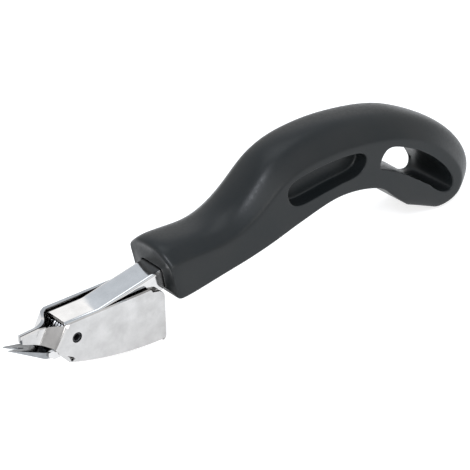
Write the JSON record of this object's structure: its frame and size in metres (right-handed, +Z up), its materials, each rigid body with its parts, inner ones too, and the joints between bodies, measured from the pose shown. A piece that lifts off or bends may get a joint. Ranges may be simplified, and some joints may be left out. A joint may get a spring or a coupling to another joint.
{
  "type": "staple remover",
  "caption": "Heavy-duty staple remover: a forked claw on a lever, a sprung rocker shell with a gripping nose, and a long curved handle.",
  "frame": {"origin": "on the floor under the middle of the tool as it rests on its rocker and its tail", "axes": "+X back along the tool from the claw to the tail, +Y across it, +Z up"},
  "size_m": [0.2186, 0.026, 0.0564],
  "materials": {
    "chromed_sheet": "bright chrome plate",
    "chromed_claw": "bright plate over hardened steel",
    "black_oxide": "black oxide",
    "zinc_steel": "zinc plated",
    "spring_steel": "bright drawn wire",
    "moulded_grip": "satin charcoal moulding"
  },
  "bodies": {
    "grip": {"handle": "moulded_grip", "tang_screw": "zinc_steel", "lever": "chromed_sheet", "claw": "chromed_claw", "claw_rivet": "zinc_steel", "pivot_sleeve": "zinc_steel", "return_spring": "spring_steel"},
    "rocker": {"rocker_shell": "chromed_sheet", "pivot_pin": "black_oxide"}
  },
  "joints": [
    {"name": "jaw_hinge", "type": "hinge", "parent": "grip", "child": "rocker", "pos_m": [-0.08423, 0, 0.01874], "axis": [0, -1, 0], "range_deg": [0, 5], "stiffness_Nm_per_rad": 0.8, "springref_deg": -8.59, "deforming": ["return_spring"]}
  ]
}
